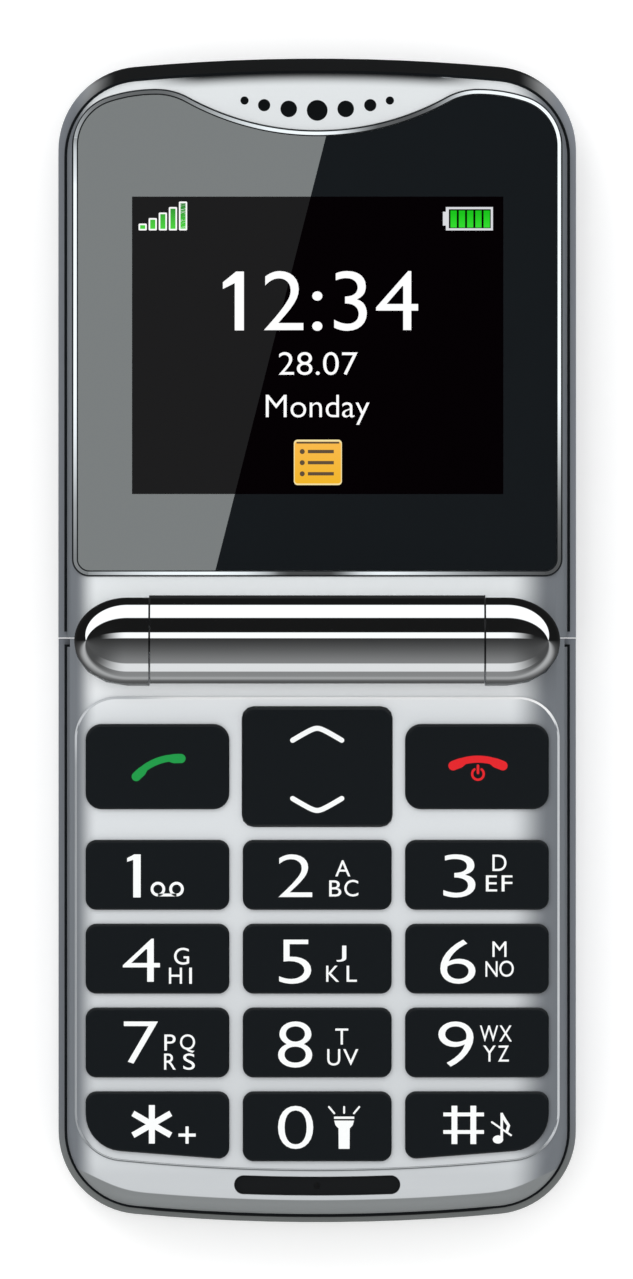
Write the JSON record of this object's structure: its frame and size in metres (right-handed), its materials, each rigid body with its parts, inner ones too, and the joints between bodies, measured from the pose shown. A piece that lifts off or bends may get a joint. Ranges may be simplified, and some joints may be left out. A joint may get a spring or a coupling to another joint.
{
  "type": "flip phone",
  "caption": "Clamshell mobile phone opened flat: lid with a colour display under a wave-topped black lens, chrome hinge barrel, and a base with large rounded keys.",
  "frame": {"origin": "middle of the surface the opened phone lies on, under the hinge axis", "axes": "+Z out of the keys and the display; +Y from the hinge to the top of the lid; +X to the right of the display"},
  "size_m": [0.0556, 0.1248, 0.0166],
  "materials": {
    "silver_shell": "silver paint on a moulded shell, satin",
    "grey_shell": "grey painted shell, satin",
    "black_rubber": "matt",
    "chrome_plate": "polished",
    "black_lens": "high gloss, printed black behind, clear over the display",
    "display_glass": "gloss",
    "clear_lens": "gloss",
    "silicone": "matt",
    "steel": "bright",
    "board": "solder mask",
    "battery_wrap": "matt film",
    "black_plastic": "matt",
    "white_plastic": "natural acetal",
    "flex_film": "amber film",
    "antenna_brass": "bright",
    "key_black": "gloss"
  },
  "bodies": {
    "base": {"base_front_cover": "silver_shell", "base_rear_cover": "grey_shell", "base_seam_gasket": "black_rubber", "battery": "battery_wrap", "battery_contacts": "black_plastic", "base_screws": "steel", "keypad_mat": "silicone", "dome_switches": "steel", "main_board": "board", "shield_cans": "steel", "sim_holder": "steel", "usb_socket": "steel", "mic_insert": "black_plastic", "microphone": "steel", "loudspeaker": "black_plastic", "vibration_motor": "steel", "antenna": "antenna_brass", "hinge_barrel_center": "chrome_plate", "hinge_cam_module": "steel", "hinge_bushing": "white_plastic", "flex_cable_base": "flex_film"},
    "lid": {"lid_front_cover": "silver_shell", "lid_rear_cover": "grey_shell", "lid_seam_gasket": "black_rubber", "lens_trim": "chrome_plate", "display_lens": "black_lens", "lcd_module": "display_glass", "lid_board": "board", "earpiece": "black_plastic", "earpiece_mesh": "black_plastic", "magnet": "steel", "torch_lens": "clear_lens", "lid_screws": "steel", "hinge_cap_left": "chrome_plate", "hinge_cap_right": "chrome_plate", "hinge_shaft": "steel", "flex_cable_lid": "flex_film"},
    "door": {"battery_door": "grey_shell"},
    "key_0": {"key_0": "key_black"},
    "key_1": {"key_1": "key_black"},
    "key_2": {"key_2": "key_black"},
    "key_3": {"key_3": "key_black"},
    "key_4": {"key_4": "key_black"},
    "key_5": {"key_5": "key_black"},
    "key_6": {"key_6": "key_black"},
    "key_7": {"key_7": "key_black"},
    "key_8": {"key_8": "key_black"},
    "key_9": {"key_9": "key_black"},
    "key_call": {"key_call": "key_black"},
    "key_end": {"key_end": "key_black"},
    "key_hash": {"key_hash": "key_black"},
    "key_nav": {"key_nav": "key_black"},
    "key_star": {"key_star": "key_black"}
  },
  "joints": [
    {"name": "lid_hinge", "type": "hinge", "parent": "base", "child": "lid", "pos_m": [0, 0, 0.01195], "axis": [1, 0, 0], "range_deg": [0, 180]},
    {"name": "door_slide", "type": "slide", "parent": "base", "child": "door", "axis": [0, -1, 0], "range_m": [0, 0.006]},
    {"name": "0_press", "type": "slide", "parent": "base", "child": "key_0", "axis": [0, 0, -1], "range_m": [0, 0.00035], "stiffness_N_per_m": 900},
    {"name": "1_press", "type": "slide", "parent": "base", "child": "key_1", "axis": [0, 0, -1], "range_m": [0, 0.00035], "stiffness_N_per_m": 900},
    {"name": "2_press", "type": "slide", "parent": "base", "child": "key_2", "axis": [0, 0, -1], "range_m": [0, 0.00035], "stiffness_N_per_m": 900},
    {"name": "3_press", "type": "slide", "parent": "base", "child": "key_3", "axis": [0, 0, -1], "range_m": [0, 0.00035], "stiffness_N_per_m": 900},
    {"name": "4_press", "type": "slide", "parent": "base", "child": "key_4", "axis": [0, 0, -1], "range_m": [0, 0.00035], "stiffness_N_per_m": 900},
    {"name": "5_press", "type": "slide", "parent": "base", "child": "key_5", "axis": [0, 0, -1], "range_m": [0, 0.00035], "stiffness_N_per_m": 900},
    {"name": "6_press", "type": "slide", "parent": "base", "child": "key_6", "axis": [0, 0, -1], "range_m": [0, 0.00035], "stiffness_N_per_m": 900},
    {"name": "7_press", "type": "slide", "parent": "base", "child": "key_7", "axis": [0, 0, -1], "range_m": [0, 0.00035], "stiffness_N_per_m": 900},
    {"name": "8_press", "type": "slide", "parent": "base", "child": "key_8", "axis": [0, 0, -1], "range_m": [0, 0.00035], "stiffness_N_per_m": 900},
    {"name": "9_press", "type": "slide", "parent": "base", "child": "key_9", "axis": [0, 0, -1], "range_m": [0, 0.00035], "stiffness_N_per_m": 900},
    {"name": "call_press", "type": "slide", "parent": "base", "child": "key_call", "axis": [0, 0, -1], "range_m": [0, 0.00035], "stiffness_N_per_m": 900},
    {"name": "end_press", "type": "slide", "parent": "base", "child": "key_end", "axis": [0, 0, -1], "range_m": [0, 0.00035], "stiffness_N_per_m": 900},
    {"name": "hash_press", "type": "slide", "parent": "base", "child": "key_hash", "axis": [0, 0, -1], "range_m": [0, 0.00035], "stiffness_N_per_m": 900},
    {"name": "nav_rock", "type": "hinge", "parent": "base", "child": "key_nav", "pos_m": [0, -0.0135, 0.0093], "axis": [1, 0, 0], "range_deg": [-2, 2], "stiffness_Nm_per_rad": 0.2},
    {"name": "star_press", "type": "slide", "parent": "base", "child": "key_star", "axis": [0, 0, -1], "range_m": [0, 0.00035], "stiffness_N_per_m": 900}
  ]
}
